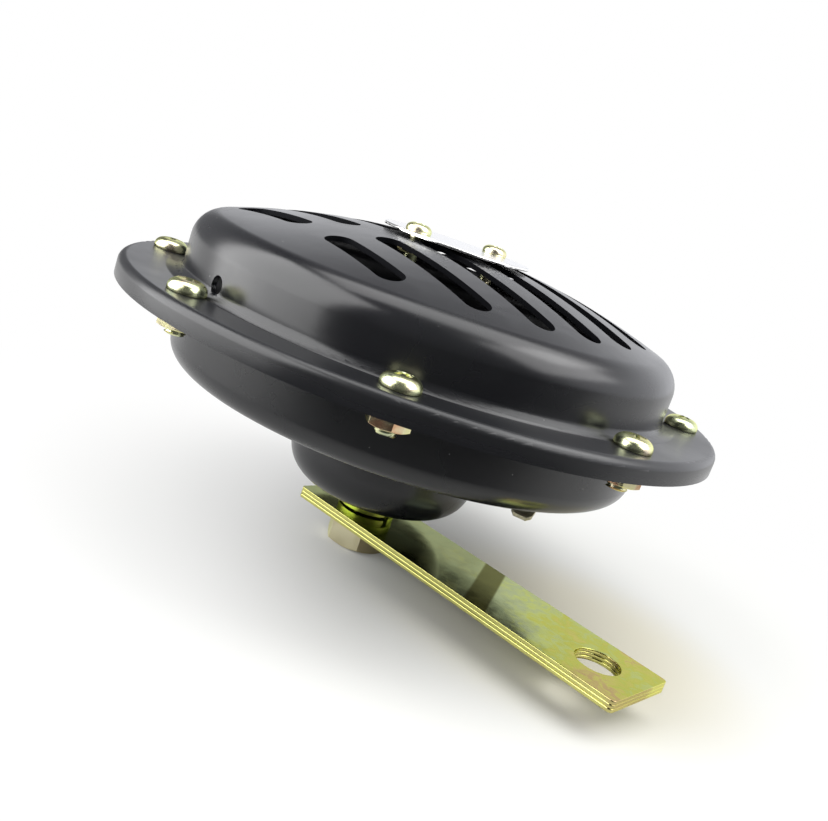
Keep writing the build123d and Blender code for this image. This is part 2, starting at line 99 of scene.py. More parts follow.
# %% A socket with operators, and the graph that it belongs to
class Flow:
    """An output socket that Python's operators can work on."""

    def __init__(self, graph, socket):
        self.graph = graph
        self.socket = socket

    def _math(self, operation, first, second):
        return self.graph.node("ShaderNodeMath", {"operation": operation}, {0: first, 1: second})

    def __add__(self, other):
        return self._math("ADD", self, other)

    def __sub__(self, other):
        return self._math("SUBTRACT", self, other)

    def __rsub__(self, other):
        return self._math("SUBTRACT", other, self)

    def __mul__(self, other):
        return self._math("MULTIPLY", self, other)

    def __truediv__(self, other):
        return self._math("DIVIDE", self, other)

    __radd__ = __add__


class Graph:
    """A node tree in the making."""

    def __init__(self, tree):
        self.tree = tree
        self.tree.nodes.clear()

    def node(self, kind, settings=None, inputs=None, output=0):
        made = self.tree.nodes.new(kind)
        for key, value in (settings or {}).items():
            if key == "stops":
                self._set_stops(made.color_ramp, value)
            else:
                setattr(made, key, value)
        for key, value in (inputs or {}).items():
            self.feed(made.inputs[key], value)
        return Flow(self, made.outputs[output]) if made.outputs else None

    def _set_stops(self, ramp, stops):
        while len(ramp.elements) < len(stops):
            ramp.elements.new(1.0)
        for element, (place, colour) in zip(ramp.elements, stops):
            element.position = place
            element.color = (*colour, 1.0)

    def feed(self, socket, value):
        if isinstance(value, Flow):
            self.tree.links.new(value.socket, socket)
        else:
            socket.default_value = value

    def steps(self, value, low, high, to_low=0.0, to_high=1.0):
        """Maps a range of values to another, smoothly, and holds it beyond the ends."""
        sockets = {0: value, 1: low, 2: high, 3: to_low, 4: to_high}
        return self.node("ShaderNodeMapRange", {"interpolation_type": "SMOOTHSTEP"}, sockets)

    def within(self, value, low, high, soft):
        """1 between two values, 0 outside them, with soft ends that lie inside."""
        return self.steps(value, low, low + soft) * self.steps(value, high - soft, high, 1.0, 0.0)

    def larger(self, first, second):
        return self.node("ShaderNodeMath", {"operation": "MAXIMUM"}, {0: first, 1: second})

    def vector(self, operation, first, second=(0, 0, 0), output="Vector"):
        return self.node("ShaderNodeVectorMath", {"operation": operation}, {0: first, 1: second}, output)

    def along(self, vector, direction):
        """How far a vector reaches along a direction."""
        return self.vector("DOT_PRODUCT", vector, direction, "Value")

    def length(self, vector):
        return self.vector("LENGTH", vector, output="Value")


# %% [markdown]
# ## A finish and its patterns
# All patterns read the place in the object, in metres, so nothing needs to be unwrapped, and a pattern's
# size is written as a real size. Numbers that are the same all over a piece are set on the shader itself.

# %% A finish, which is a graph that ends in one surface
class Finish(Graph):
    """A material in the making."""

    def __init__(self, name):
        self.material = bpy.data.materials.new(name)
        self.material.use_nodes = True
        super().__init__(self.material.node_tree)

    def spot(self):
        """The point being shaded, in metres."""
        return self.node("ShaderNodeTexCoord", output="Object")

    def facing(self, direction):
        """1 where the surface faces along a unit direction, and -1 where it faces the other way."""
        return self.along(self.node("ShaderNodeTexCoord", output="Normal"), direction)

    def noise(self, size, detail=3.0, stretch=(1, 1, 1), distortion=0.0):
        """Cloudy values from 0 to 1, whose blotches are about one size across."""
        place = self.node("ShaderNodeMapping", inputs={0: self.spot(), 3: stretch})
        sockets = {"Vector": place, "Scale": 1 / size, "Detail": detail, "Distortion": distortion}
        return self.node("ShaderNodeTexNoise", {"noise_dimensions": "3D"}, sockets, "Fac")

    def ramp(self, stops, value):
        return self.node("ShaderNodeValToRGB", {"stops": stops}, {"Fac": value})

    def blend(self, share, first, second):
        """A colour between two others."""
        sockets = {"Factor": share, 6: first, 7: second}
        return self.node("ShaderNodeMix", {"data_type": "RGBA"}, sockets, 2)

    def bump(self, height, depth, normal=None):
        sockets = {"Height": height, "Distance": depth, "Strength": 1.0}
        if normal is not None:
            sockets["Normal"] = normal
        return self.node("ShaderNodeBump", inputs=sockets)

    def surface(self, **inputs):
        """Ends the finish in one Principled shader."""
        named = {key.replace("_", " ").title().replace("Ior", "IOR"): value for key, value in inputs.items()}
        shader = self.node("ShaderNodeBsdfPrincipled", inputs=named, output="BSDF")
        self.node("ShaderNodeOutputMaterial", inputs={"Surface": shader})
        return self.material


def rgba(red, green, blue):
    return (red, green, blue, 1.0)


# %% [markdown]
# ## Black enamel
# Both pressings are sprayed and stoved. The coat is nearly black and glossy, it flows to a faint
# orange-peel texture about a millimetre across, and handling leaves it a little duller in broad patches.
# A few specks of pale dust lie on it. Wet enamel also pools where the flange meets the upright wall, and
# the soft slope of that pool is what catches the overhead light, so it is given as a height to a Bump.
# The flange is a little duller than the rest, because tools and hands have rubbed it. The walls of the
# slots and the inside of the crown carry painted shade: they are made rough, near-black metal that reflects
# very little.

# %% Black enamel
ENAMEL = rgba(0.0075, 0.0078, 0.0092)
DUST = rgba(0.35, 0.35, 0.34)
POOL_WIDTH = 3.4 * MM  # how far the pool's slope runs out from the wall
POOL_HEIGHT = 2.2 * MM  # how high the Bump takes it to stand at the wall, more than it really does


def black_enamel():
    finish = Finish("black_enamel")
    handling = finish.noise(22 * MM, detail=4)
    peel = finish.noise(1.6 * MM, detail=2)
    dust = finish.steps(finish.noise(0.6 * MM, detail=0), 0.9, 0.91)
    apart = finish.vector("SUBTRACT", finish.spot(), horn_axis)
    radius = finish.length(finish.vector("MULTIPLY", apart, (1, 1, 0)))
    height = finish.along(apart, (0, 0, 1))
    above = finish.steps(height, flange_height - 1.0 * MM, flange_height - 0.6 * MM)
    pool = finish.steps(radius, wall_radius, wall_radius + POOL_WIDTH, 1.0, 0.0) * above
    rubbed = finish.steps(height, flange_height - 4 * MM, flange_height - 1.5 * MM)
    rubbed = rubbed * finish.steps(radius, wall_radius, wall_radius + 1 * MM)
    slots_end = wall_radius - SLOTS_MARGIN
    # painted shade: the slot walls and the crown's inside become rough, near-black metal, as dark as the
    # shade in the slots
    painted_slot_shade = finish.steps(finish.facing((0, 0, 1)), 0.4, 0.6, 1.0, 0.0)
    painted_slot_shade = painted_slot_shade * finish.steps(height, slots_start, slots_start + 1 * MM)
    painted_slot_shade = painted_slot_shade * finish.steps(radius, slots_end, slots_end + 0.5 * MM, 1.0, 0.0)
    gloss = finish.steps(handling, 0.3, 0.7, 0.21, 0.29)
    return finish.surface(
        base_color=finish.blend(dust * 0.5, ENAMEL, DUST),
        roughness=gloss + dust * 0.3 + rubbed * 0.07 + painted_slot_shade * 0.5,
        metallic=painted_slot_shade,
        normal=finish.bump(peel, 0.006 * MM, finish.bump(pool, POOL_HEIGHT)),
        ior=1.5,
    )


# %% [markdown]
# ## Yellow-passivated zinc
# The bracket and the fasteners are zinc plated and dipped in a yellow chromate. The plating is a mirror
# under a thin coloured film, so it shines gold and drifts to green, pink or brown as the film's thickness
# drifts. A ramp gives those colours in their order, and soft noise gives the drift. The bracket's strip
# has more: painted shade darkens it beside the horn, and a painted dark reflection of the horn crosses it
# as a stripe at a slant.

# %% Yellow zinc
FASTENER_FILM = [
    (0.0, (0.54, 0.60, 0.44)),
    (0.35, (0.62, 0.66, 0.40)),
    (0.65, (0.70, 0.69, 0.42)),
    (0.88, (0.70, 0.60, 0.44)),
    (1.0, (0.62, 0.62, 0.52)),
]
NUT_FILM = [
    (0.0, (0.52, 0.60, 0.16)),
    (0.3, (0.72, 0.70, 0.36)),
    (0.6, (0.74, 0.68, 0.44)),
    (0.8, (0.62, 0.36, 0.22)),
    (1.0, (0.66, 0.58, 0.30)),
]
# the bolt's ramp: its light and dark ends are mostly painted light and shade, picked by the way each facet
# faces
BOLT_FILM_AND_SHADE = [
    (0.0, (0.96, 0.92, 0.68)),
    (0.4, (0.82, 0.76, 0.52)),
    (0.7, (0.52, 0.43, 0.26)),
    (1.0, (0.36, 0.31, 0.19)),
]
BRACKET_FILM = [
    (0.0, (0.33, 0.42, 0.30)),
    (0.4, (0.38, 0.44, 0.28)),
    (0.6, (0.46, 0.52, 0.20)),
    (0.75, (0.47, 0.49, 0.10)),
    (0.88, (0.54, 0.49, 0.15)),
    (1.0, (0.50, 0.36, 0.18)),
]
WASHER_FILM = [(0.0, (0.50, 0.60, 0.10)), (0.5, (0.66, 0.70, 0.14)), (1.0, (0.62, 0.56, 0.22))]
CUT_EDGE = (rgba(0.68, 0.66, 0.22), rgba(0.48, 0.39, 0.18))
# painted shade: the near-black that is mixed into the strip's face beside the horn and in its dark stripe
PAINTED_SHADE = rgba(0.01, 0.01, 0.008)
SLANT = (0.9, 0.45, 0)  # the strip's painted dark stripe and its painted shade lie square to this direction
BAND_START, BAND_END, BAND_SOFT = -28 * MM, -22.4 * MM, 0.6 * MM


def strip_tint(finish, film, hue):
    """The strip's film, with painted shade beside the horn, a painted dark reflection of the horn across it
    as a stripe, and plain gold on its cut edges.
    """
    spot = finish.spot()
    across = finish.along(spot, SLANT)
    outward = finish.along(spot, (1, 0, 0))
    mottle = finish.steps(finish.noise(2.2 * MM, detail=5, distortion=0.8), 0.3, 0.7, -0.12, 0.12)
    hue = hue * 0.4 + mottle + finish.steps(outward, -40 * MM, 12 * MM, 0.0, 0.68)
    # painted reflection: a dark stripe of the horn's reflection across the strip
    painted_reflection_stripe = finish.within(across, BAND_START, BAND_END, BAND_SOFT)
    # painted shade: less film and more near-black towards the horn, and in the stripe
    bright = finish.steps(across, -32 * MM, -19 * MM, 0.5, 0.95) * (1 - painted_reflection_stripe * 0.93)
    face = finish.blend(bright, PAINTED_SHADE, finish.ramp(film, hue))
    worn = finish.steps(finish.noise(7 * MM, detail=2), 0.42, 0.6)
    worn = worn * finish.steps(outward, -12 * MM, 2 * MM)
    lying = finish.larger(finish.facing((0, 0, 1)), finish.facing((0, 0, -1)))
    return finish.blend(finish.steps(lying, 0.5, 0.8), finish.blend(worn, *CUT_EDGE), face)


def yellow_zinc(name, film, patch, drift, roughness, strip=False, painted_dark_facing=None):
    """Zinc whose film drifts in patches. If a direction is given, the colour also follows the way a side
    faces, which paints light and shade: with the bolt's ramp, sides that face that way are painted dark and
    the others light.
    """
    finish = Finish(name)
    hue = finish.steps(finish.noise(patch, detail=2, distortion=0.6), 0.5 - drift, 0.5 + drift)
    if painted_dark_facing:
        # painted light and shade: the colour follows the way a side faces
        hue = hue * 0.2 + finish.steps(finish.facing(painted_dark_facing), -0.2, 0.5, 0.0, 0.8)
    tint = strip_tint(finish, film, hue) if strip else finish.ramp(film, hue)
    streak = finish.noise(0.35 * MM, detail=2, stretch=(0.04, 1, 1))
    stain = finish.noise(3 * MM, detail=4)
    return finish.surface(
        base_color=tint,
        metallic=1.0,
        specular_tint=rgba(0.95, 0.95, 0.62),
        roughness=finish.steps(stain, 0.35, 0.7, roughness, roughness + 0.08) + streak * 0.03,
        normal=finish.bump(streak + stain * 2.0, 0.003 * MM),
    )


# %% [markdown]
# ## The quieter finishes
# The name plate is bright rolled aluminium. Inside, where little can be seen, there are bare steel,
# oiled gasket paper, laminated phenolic board, moulded plastic, enamelled wire and tinned brass.
# One function serves all of them, because they differ in colour, metal and gloss more than in kind.

# %% A plain finish with grain
def grained(name, colours, metallic, roughness, grain, depth, stretch=(1, 1, 1)):
    """A finish between a dark and a light colour, whose grain has a size and a depth in metres."""
    finish = Finish(name)
    pattern = finish.noise(grain, detail=4, stretch=stretch)
    dark, light = colours
    return finish.surface(
        base_color=finish.blend(finish.steps(pattern, 0.3, 0.7), rgba(*dark), rgba(*light)),
        metallic=metallic,
        roughness=finish.steps(pattern, 0.3, 0.7, roughness - 0.05, roughness + 0.07),
        normal=finish.bump(pattern, depth),
    )


STEEL = ((0.33, 0.33, 0.34), (0.46, 0.46, 0.46))
ALUMINIUM = ((0.84, 0.84, 0.83), (0.93, 0.93, 0.92))
BOARD = ((0.11, 0.05, 0.02), (0.19, 0.09, 0.04))
PAPER = ((0.16, 0.13, 0.09), (0.27, 0.22, 0.15))
MOULDED = ((0.02, 0.02, 0.02), (0.05, 0.05, 0.05))
COPPER = ((0.42, 0.12, 0.04), (0.60, 0.22, 0.08))
TINNED = ((0.42, 0.39, 0.26), (0.54, 0.50, 0.35))
GROUND = ((0.30, 0.30, 0.32), (0.45, 0.45, 0.46))
materials = {
    "black_paint": black_enamel(),
    "yellow_zinc": yellow_zinc("yellow_zinc", FASTENER_FILM, 4 * MM, 0.32, 0.2),
    "nut_zinc": yellow_zinc("nut_zinc", NUT_FILM, 5 * MM, 0.3, 0.16),
    "washer_zinc": yellow_zinc("washer_zinc", WASHER_FILM, 3 * MM, 0.3, 0.3),
    # the bolt head's facets are painted light or dark by the way they face
    "bolt_zinc": yellow_zinc("bolt_zinc", BOLT_FILM_AND_SHADE, 8 * MM, 0.18, 0.14, painted_dark_facing=(0.75, 0.1, -0.3)),
    "bracket_zinc": yellow_zinc("bracket_zinc", BRACKET_FILM, 16 * MM, 0.25, 0.08, strip=True),
    "bright_aluminium": grained("bright_aluminium", ALUMINIUM, 1.0, 0.2, 0.3 * MM, 0.002 * MM, (0.05, 1, 1)),
    "plain_steel": grained("plain_steel", STEEL, 1.0, 0.38, 1.5 * MM, 0.004 * MM),
    "gasket_paper": grained("gasket_paper", PAPER, 0.0, 0.8, 0.4 * MM, 0.02 * MM),
    "phenolic_board": grained("phenolic_board", BOARD, 0.0, 0.45, 0.5 * MM, 0.006 * MM),
    "bobbin_plastic": grained("bobbin_plastic", MOULDED, 0.0, 0.5, 1 * MM, 0.004 * MM),
    "enamelled_copper": grained("enamelled_copper", COPPER, 0.9, 0.3, 0.4 * MM, 0.03 * MM, (0.02, 0.02, 1)),
    "tinned_brass": grained("tinned_brass", TINNED, 0.85, 0.42, 0.8 * MM, 0.003 * MM),
    "contact_metal": grained("contact_metal", GROUND, 1.0, 0.3, 0.3 * MM, 0.004 * MM),
}
print("finishes:", len(materials))

# %% Give each model piece the finish of its slot
for part in frame["record"]["subparts"]:
    piece = frame["nodes"][part["node"]]
    finish_name = "bracket_zinc" if part["node"].startswith("bracket_leaf") else part["material_slot"]
    piece.data.materials.clear()
    piece.data.materials.append(materials[finish_name])

# %% [markdown]
# ## Turned forms
# Screws and nuts are mostly turned shapes. A lathe function spins a half outline about Z and closes it at
# the axis, which gives clean rings of faces to bevel or to cut. Modifiers that cut or round are applied
# straight away, so that each finished piece is a plain mesh with its place in its points.

# %% Lathe, shading and keeping a result
def new_object(name, data):
    made = bpy.data.objects.new(name, data)
    bpy.context.scene.collection.objects.link(made)
    return made


def made_of(build, name):
    """Turns what was built into an object, with all its faces outwards."""
    bmesh.ops.recalc_face_normals(build, faces=build.faces)
    mesh = bpy.data.meshes.new(name)
    build.to_mesh(mesh)
    build.free()
    return new_object(name, mesh)


def polar(radius, angle, height):
    """The point at a radius and an angle about Z, at a height."""
    return (radius * math.cos(angle), radius * math.sin(angle), height)


def lathe(name, outline, segments):
    """Spins (radius, height) points about Z. A point at radius 0 closes the form at the axis."""
    build = bmesh.new()
    rings = []
    for radius, height in outline:
        if radius == 0:
            rings.append([build.verts.new((0, 0, height))] * segments)
            continue
        turns = [2 * math.pi * step / segments for step in range(segments)]
        rings.append([build.verts.new(polar(radius, turn, height)) for turn in turns])
    for first, second in zip(rings, rings[1:]):
        for step in range(segments):
            following = (step + 1) % segments
            loop = [first[step], first[following], second[following], second[step]]
            corners = list(dict.fromkeys(loop))
            if len(corners) > 2:
                build.faces.new(corners)
    return made_of(build, name)


def apply_modifiers(piece):
    """Makes the live modifiers' result the piece's own mesh, and drops them."""
    bpy.context.view_layer.update()
    result = bpy.data.meshes.new_from_object(piece.evaluated_get(bpy.context.evaluated_depsgraph_get()))
    piece.modifiers.clear()
    piece.data = result
    return piece


def settle(piece, smooth_angle=35.0):
    """Applies the modifiers and shades smooth up to an angle."""
    apply_modifiers(piece)
    piece.data.shade_smooth()
    piece.data.set_sharp_from_angle(angle=math.radians(smooth_angle))
    return piece


SLIVER = 0.003 * MM


def merge_slivers(piece):
    """Closes the faces that a cut or a bevel left thinner than a sliver."""
    build = bmesh.new()
    build.from_mesh(piece.data)
    bmesh.ops.remove_doubles(build, verts=build.verts, dist=SLIVER)
    bmesh.ops.dissolve_degenerate(build, edges=build.edges, dist=SLIVER / 3)
    build.to_mesh(piece.data)
    build.free()


def cut(piece, tool, operation="DIFFERENCE"):
    """Takes one closed form out of another, or keeps what they share, and removes the tool."""
    boolean = piece.modifiers.new("cut", "BOOLEAN")
    boolean.object = tool
    boolean.operation = operation
    boolean.solver = "EXACT"
    merge_slivers(settle(piece))
    bpy.data.objects.remove(tool)


def flat_faces_stay_flat(piece, angle):
    """Smooth shading in which a large face keeps its own normal and the small ones beside it bend."""
    settle(piece, angle)
    weighted = piece.modifiers.new("weighted", "WEIGHTED_NORMAL")
    weighted.keep_sharp = True
    return apply_modifiers(piece)


def round_edges(piece, radius, angle):
    """Rounds every edge that turns by more than an angle."""
    bevel = piece.modifiers.new("round", "BEVEL")
    bevel.width = radius
    bevel.segments = 2
    bevel.limit_method = "ANGLE"
    bevel.angle_limit = math.radians(angle)
    merge_slivers(settle(piece, angle))
    return flat_faces_stay_flat(piece, angle)


def prism(name, outline, low, high, top_share=1.0):
    """A straight or tapered block on any outline, with its upper outline scaled."""
    build = bmesh.new()
    lower = [build.verts.new((x, y, low)) for x, y in outline]
    upper = [build.verts.new((x * top_share, y * top_share, high)) for x, y in outline]
    build.faces.new(lower[::-1])
    build.faces.new(upper)
    count = len(outline)
    for step in range(count):
        following = (step + 1) % count
        build.faces.new((lower[step], lower[following], upper[following], upper[step]))
    return made_of(build, name)


# %% [markdown]
# ## Screws and nuts
# A flange screw has a low round head with a cross recess, and a thread that shows where its tip leaves
# the nut. The thread is one ramp wound round the shank: a grid of points whose columns climb by a pitch
# each turn, with its ends held flat between two heights. The recess is a tapered cross, cut out.

# %% A thread, a cross recess, a screw and a nut
THREAD_DEPTH = 0.54  # of its pitch
RECESS_FLOOR = (0.42, 0.62)  # how far the cross is drawn in at the recess's floor, along X and Y
RECESS_FLARE = 1.75  # how much wider the tool is above the head than at that floor


def thread(name, radius, pitch, low, high, segments=28):
    """A closed thread between two heights, with a crest and a root in each pitch."""
    depth = pitch * THREAD_DEPTH
    rows = 2 * math.ceil((high - low) / pitch) + 4
    merging = radius * 1e-4
    build = bmesh.new()
    columns = []
    for step in range(segments):
        angle = 2 * math.pi * step / segments
        column = []
        for row in range(rows):
            height = low + ((row - 2) / 2 + step / segments) * pitch
            held = min(max(height, low), high)
            reach = radius - (depth if row % 2 or held != height else 0)
            column.append(build.verts.new(polar(reach, angle, held)))
        columns.append(column)
    for step in range(segments - 1):
        for row in range(rows - 1):
            here, there = columns[step], columns[step + 1]
            build.faces.new((here[row], there[row], there[row + 1], here[row + 1]))
    last, first = columns[-1], columns[0]
    for row in range(rows - 3):
        build.faces.new((last[row], first[row + 2], first[row + 3], last[row + 1]))
    bmesh.ops.remove_doubles(build, verts=build.verts, dist=merging)
    bmesh.ops.dissolve_degenerate(build, edges=build.edges, dist=merging)
    bmesh.ops.holes_fill(build, edges=[e for e in build.edges if e.is_boundary], sides=0)
    return made_of(build, name)


def join(pieces):
    """Joins closed forms into one object, each as a loose part."""
    build = bmesh.new()
    for piece in pieces:
        build.from_mesh(piece.data)
    mesh = bpy.data.meshes.new(pieces[0].name)
    build.to_mesh(mesh)
    build.free()
    for piece in pieces[1:]:
        bpy.data.objects.remove(piece)
    pieces[0].data = mesh
    return pieces[0]


def cross_outline(reach, half_width):
    """The twelve corners of a cross with four equal arms."""
    corners = [(reach, -half_width), (reach, half_width), (half_width, half_width)]
    quarter_turns = [(1, 0), (0, 1), (-1, 0), (0, -1)]
    return [(x * c - y * s, x * s + y * c) for c, s in quarter_turns for x, y in corners]


def pan_head(name, radius, height, recess_reach, recess_width, recess_depth):
    """A pan head on z = 0: a short upright side, a round shoulder and a nearly flat top with a cross."""
    side, crown, shoulder_top, edge = height * 0.24, radius * 0.38, height * 0.92, radius * 0.05
    turns = [math.pi / 2 * step / 7 for step in range(8)]
    across, rise = radius - crown, shoulder_top - side
    shoulder = [(crown + across * math.cos(turn), side + rise * math.sin(turn)) for turn in turns]
    foot = [(0, 0), (radius * 0.96, 0), (radius, edge)]
    head = lathe(name, [*foot, *shoulder, (crown * 0.5, height * 0.985), (0, height)], 44)
    cross = cross_outline(recess_reach, recess_width / 2)
    floor_cross = [(x * RECESS_FLOOR[0], y * RECESS_FLOOR[1]) for x, y in cross]
    cut(head, prism("recess", floor_cross, height - recess_depth, height * 1.25, RECESS_FLARE))
    return round_edges(head, 0.08 * MM, 40)


def cross_screw(name, size, pitch, head_radius, head_height, length):
    """A whole screw whose head stands on z = 0."""
    head = pan_head(name, head_radius, head_height, size * 0.58, size * 0.3, head_height * 0.75)
    shank = thread(name + "_thread", size / 2, pitch, -length, -0.05 * MM)
    return settle(join([head, shank]))


def hexagon_nut(name, across_flats, bore, height):
    """A nut that hangs under z = 0, with both ends chamfered to a cone and its bore open."""
    corner = across_flats / math.sqrt(3)
    nut = prism(name, [polar(corner, math.pi / 3 * step, 0)[:2] for step in range(6)], -height, 0)
    face = across_flats / 2 * 0.95  # radius of the flat ring that the chamfer leaves at each end
    past = corner * 1.02  # the cone runs out just past the corners
    drop = (past - face) * 0.45
    profile = [(0, -height), (face, -height), (past, -height + drop), (past, -drop), (face, 0), (0, 0)]
    cut(nut, lathe("cone", profile, 60), "INTERSECT")
    below, above = -height * 1.2, height * 0.2
    cut(nut, lathe("hole", [(0, below), (bore, below), (bore, above), (0, above)], 40))
    return round_edges(nut, 0.07 * MM, 25)


# %% [markdown]
# ## A ring of fasteners
# Eight equal screws stand on one circle, so one screw is made and Geometry Nodes repeat it. The tree
# takes the fastener, the count, the circle and a seed. It places a point for each copy by its number,
# turns the copy to face outwards and then twists it at random, because nobody lines up the crosses when
# tightening screws by hand.

# %% The tree: a copy on each point of a circle, with its own twist
def fastener_ring_tree():
    tree = bpy.data.node_groups.new("fastener_ring", "GeometryNodeTree")
    sockets = {"Fastener": "Object", "Count": "Int", "Circle Radius": "Float", "Centre": "Vector",
               "First Angle": "Float", "Twist": "Float", "Seed": "Int", "Finish": "Material"}
    for name, kind in sockets.items():
        tree.interface.new_socket(name, in_out="INPUT", socket_type="NodeSocket" + kind)
    tree.interface.new_socket("Geometry", in_out="OUTPUT", socket_type="NodeSocketGeometry")
    graph = Graph(tree)
    given = {name: graph.node("NodeGroupInput", output=name) for name in sockets}
    number = graph.node("GeometryNodeInputIndex")
    around = number / given["Count"] * (2 * math.pi) + given["First Angle"]
    arm = graph.node("ShaderNodeCombineXYZ", inputs={"X": given["Circle Radius"]})
    about_z = {"rotation_type": "Z_AXIS"}
    swung = graph.node("ShaderNodeVectorRotate", about_z, {"Vector": arm, "Angle": around})
    spot = graph.vector("ADD", swung, given["Centre"])
    points = graph.node("GeometryNodePoints", inputs={"Count": given["Count"], "Position": spot})
    chance = {"Max": given["Twist"], "ID": number, "Seed": given["Seed"]}
    twist = graph.node("FunctionNodeRandomValue", {"data_type": "FLOAT"}, output="Value")
    for key, value in chance.items():
        graph.feed(next(i for i in twist.socket.node.inputs if i.name == key and i.enabled), value)
    twist = Flow(graph, next(o for o in twist.socket.node.outputs if o.enabled))
    turn = graph.node("ShaderNodeCombineXYZ", inputs={"Z": around + twist})
    model = graph.node("GeometryNodeObjectInfo", inputs={"Object": given["Fastener"]}, output="Geometry")
    placed = {"Points": points, "Instance": model, "Rotation": turn}
    copies = graph.node("GeometryNodeInstanceOnPoints", inputs=placed)
    solid = graph.node("GeometryNodeRealizeInstances", inputs={"Geometry": copies})
    dressed = graph.node("GeometryNodeSetMaterial", inputs={"Geometry": solid, "Material": given["Finish"]})
    graph.node("NodeGroupOutput", inputs={"Geometry": dressed})
    return tree


def grow(name, tree, **values):
    """Runs a tree with its named inputs, and returns the result as a plain object."""
    piece = new_object(name, bpy.data.meshes.new(name))
    modifier = piece.modifiers.new("nodes", "NODES")
    modifier.node_group = tree
    sockets = tree.interface.items_tree
    named = {item.name: item.identifier for item in sockets if item.in_out == "INPUT"}
    for key, value in values.items():
        modifier[named[key.replace("_", " ").title()]] = value
    return settle(piece, 32)


fastener_ring = fastener_ring_tree()


# %% Where the screws stand
def ring_of(prefix, fastener, seat_height, seed, slot, finish=None):
    """A ring of fasteners in the places of the model's numbered nodes, each with a twist of its own."""
    nodes = [node for node in frame["nodes"] if node.startswith(prefix + "_")]
    arm = flattened(middle(f"{prefix}_1")) - horn_axis
    made = grow(
        prefix + "s",
        fastener_ring,
        fastener=fastener,
        count=len(nodes),
        circle_radius=arm.length,
        centre=(horn_axis.x, horn_axis.y, seat_height),
        first_angle=math.atan2(arm.y, arm.x),
        twist=2 * math.pi,
        seed=seed,
        finish=materials[finish or slot],
    )
    bpy.data.objects.remove(fastener)
    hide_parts(*nodes)
    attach(made, "root")
    print(made.name, len(made.data.polygons), "faces")


# %% Flange screws and nuts
FLANGE_THREAD = (4 * MM, 0.7 * MM)  # its diameter and pitch
FLANGE_NUT = (7 * MM, 1.9 * MM)  # its width across flats and the radius of its bore
PLATE_THREAD = (3 * MM, 0.5 * MM)
PLATE_NUT = (5.5 * MM, 1.4 * MM)

head_radius = (screw_high.x - screw_low.x) / 2
screw_length = flange_height - screw_low.z
nut_low, nut_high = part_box("flange_nut_1")
flange_screw = cross_screw("flange_screw", *FLANGE_THREAD, head_radius, HEAD_HEIGHT, screw_length)
ring_of("flange_screw", flange_screw, flange_height, 11, "yellow_zinc")
flange_nut = hexagon_nut("flange_nut", *FLANGE_NUT, nut_high.z - nut_low.z)
ring_of("flange_nut", flange_nut, nut_high.z, 4, "yellow_zinc", "nut_zinc")

# %% Name plate screws and nuts
small_low, small_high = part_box("name_plate_screw_1")
small_radius = (small_high.x - small_low.x) / 2
small_head = small_high.z - plate_top
small_length = plate_top - small_low.z
small_nut_low, small_nut_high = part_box("name_plate_nut_1")
small_screw = cross_screw("plate_screw", *PLATE_THREAD, small_radius, small_head, small_length)
ring_of("name_plate_screw", small_screw, plate_top, 5, "yellow_zinc")
small_nut = hexagon_nut("plate_nut", *PLATE_NUT, small_nut_high.z - small_nut_low.z)
ring_of("name_plate_nut", small_nut, small_nut_high.z, 3, "yellow_zinc", "nut_zinc")

# %% [markdown]
# ## Edges that catch the light
# A punched or turned edge is never sharp. The model leaves its edges sharp, so these pieces are copied,
# the copy's loose triangles are merged, and a narrow Bevel rounds every edge that turns by a large angle.
# On the bracket this makes the three leaves show as three bright lines with a dark gap between them.

# %% Rounded copies of model pieces
WELD = 0.002 * MM  # corners closer than this are one corner
FLAT_WITHIN = math.radians(0.5)  # triangles that turn by less than this are one face


def merged_copy(node_name, suffix, finish, flatten):
    """A copy whose triangles share their corners, and whose flat faces are whole if that is asked for."""
    build = bmesh.new()
    build.from_mesh(frame["nodes"][node_name].data)
    bmesh.ops.remove_doubles(build, verts=build.verts, dist=WELD)
    if flatten:
        bmesh.ops.dissolve_limit(build, angle_limit=FLAT_WITHIN, verts=build.verts, edges=build.edges)
    mesh = bpy.data.meshes.new(node_name + suffix)
    build.to_mesh(mesh)
    build.free()
    mesh.materials.clear()
    mesh.materials.append(materials[finish])
    return new_object(node_name + suffix, mesh)


def stand_in(piece, node_name):
    """Shows a piece in the place of a model piece."""
    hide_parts(node_name)
    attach(piece, "root")


def rounded(node_name, radius, slot, finish=None, angle=40):
    copy = merged_copy(node_name, "_rounded", finish or slot, True)
    stand_in(round_edges(copy, radius, angle), node_name)


for number in (1, 2, 3):
    rounded(f"bracket_leaf_{number}", 0.16 * MM, "yellow_zinc", "bracket_zinc")
print("rounded the bracket's three leaves")

# %% [markdown]
# ## Two pressings without a ripple
# Gloss shows every facet of a curved sheet. The cover and the housing are turned forms apart from their
# holes, so all the corners at one radius and one height should share one slope. Their copies get that:
# the corners of each ring are put in order of slope, split into groups where two surfaces meet in an
# edge, and each group is averaged. The walls of holes face sideways and keep their own normals, and so
# does the crown with its slots.

# %% The same slope all round each ring
RING_STEP = 0.02 * MM  # corners this close in radius and height are on one ring
EDGE_TURN = math.radians(20)  # slopes further apart than this lie on two sides of an edge
SIDEWAYS = 0.15  # a normal with more than this along the ring belongs to a hole


def slope_groups(slopes):
    """The mean of each cluster of slopes."""
    slopes = sorted(slopes)
    groups = [[slopes[0]]]
    for slope in slopes[1:]:
        if slope - groups[-1][-1] > EDGE_TURN:
            groups.append([])
        groups[-1].append(slope)
    return [sum(group) / len(group) for group in groups]


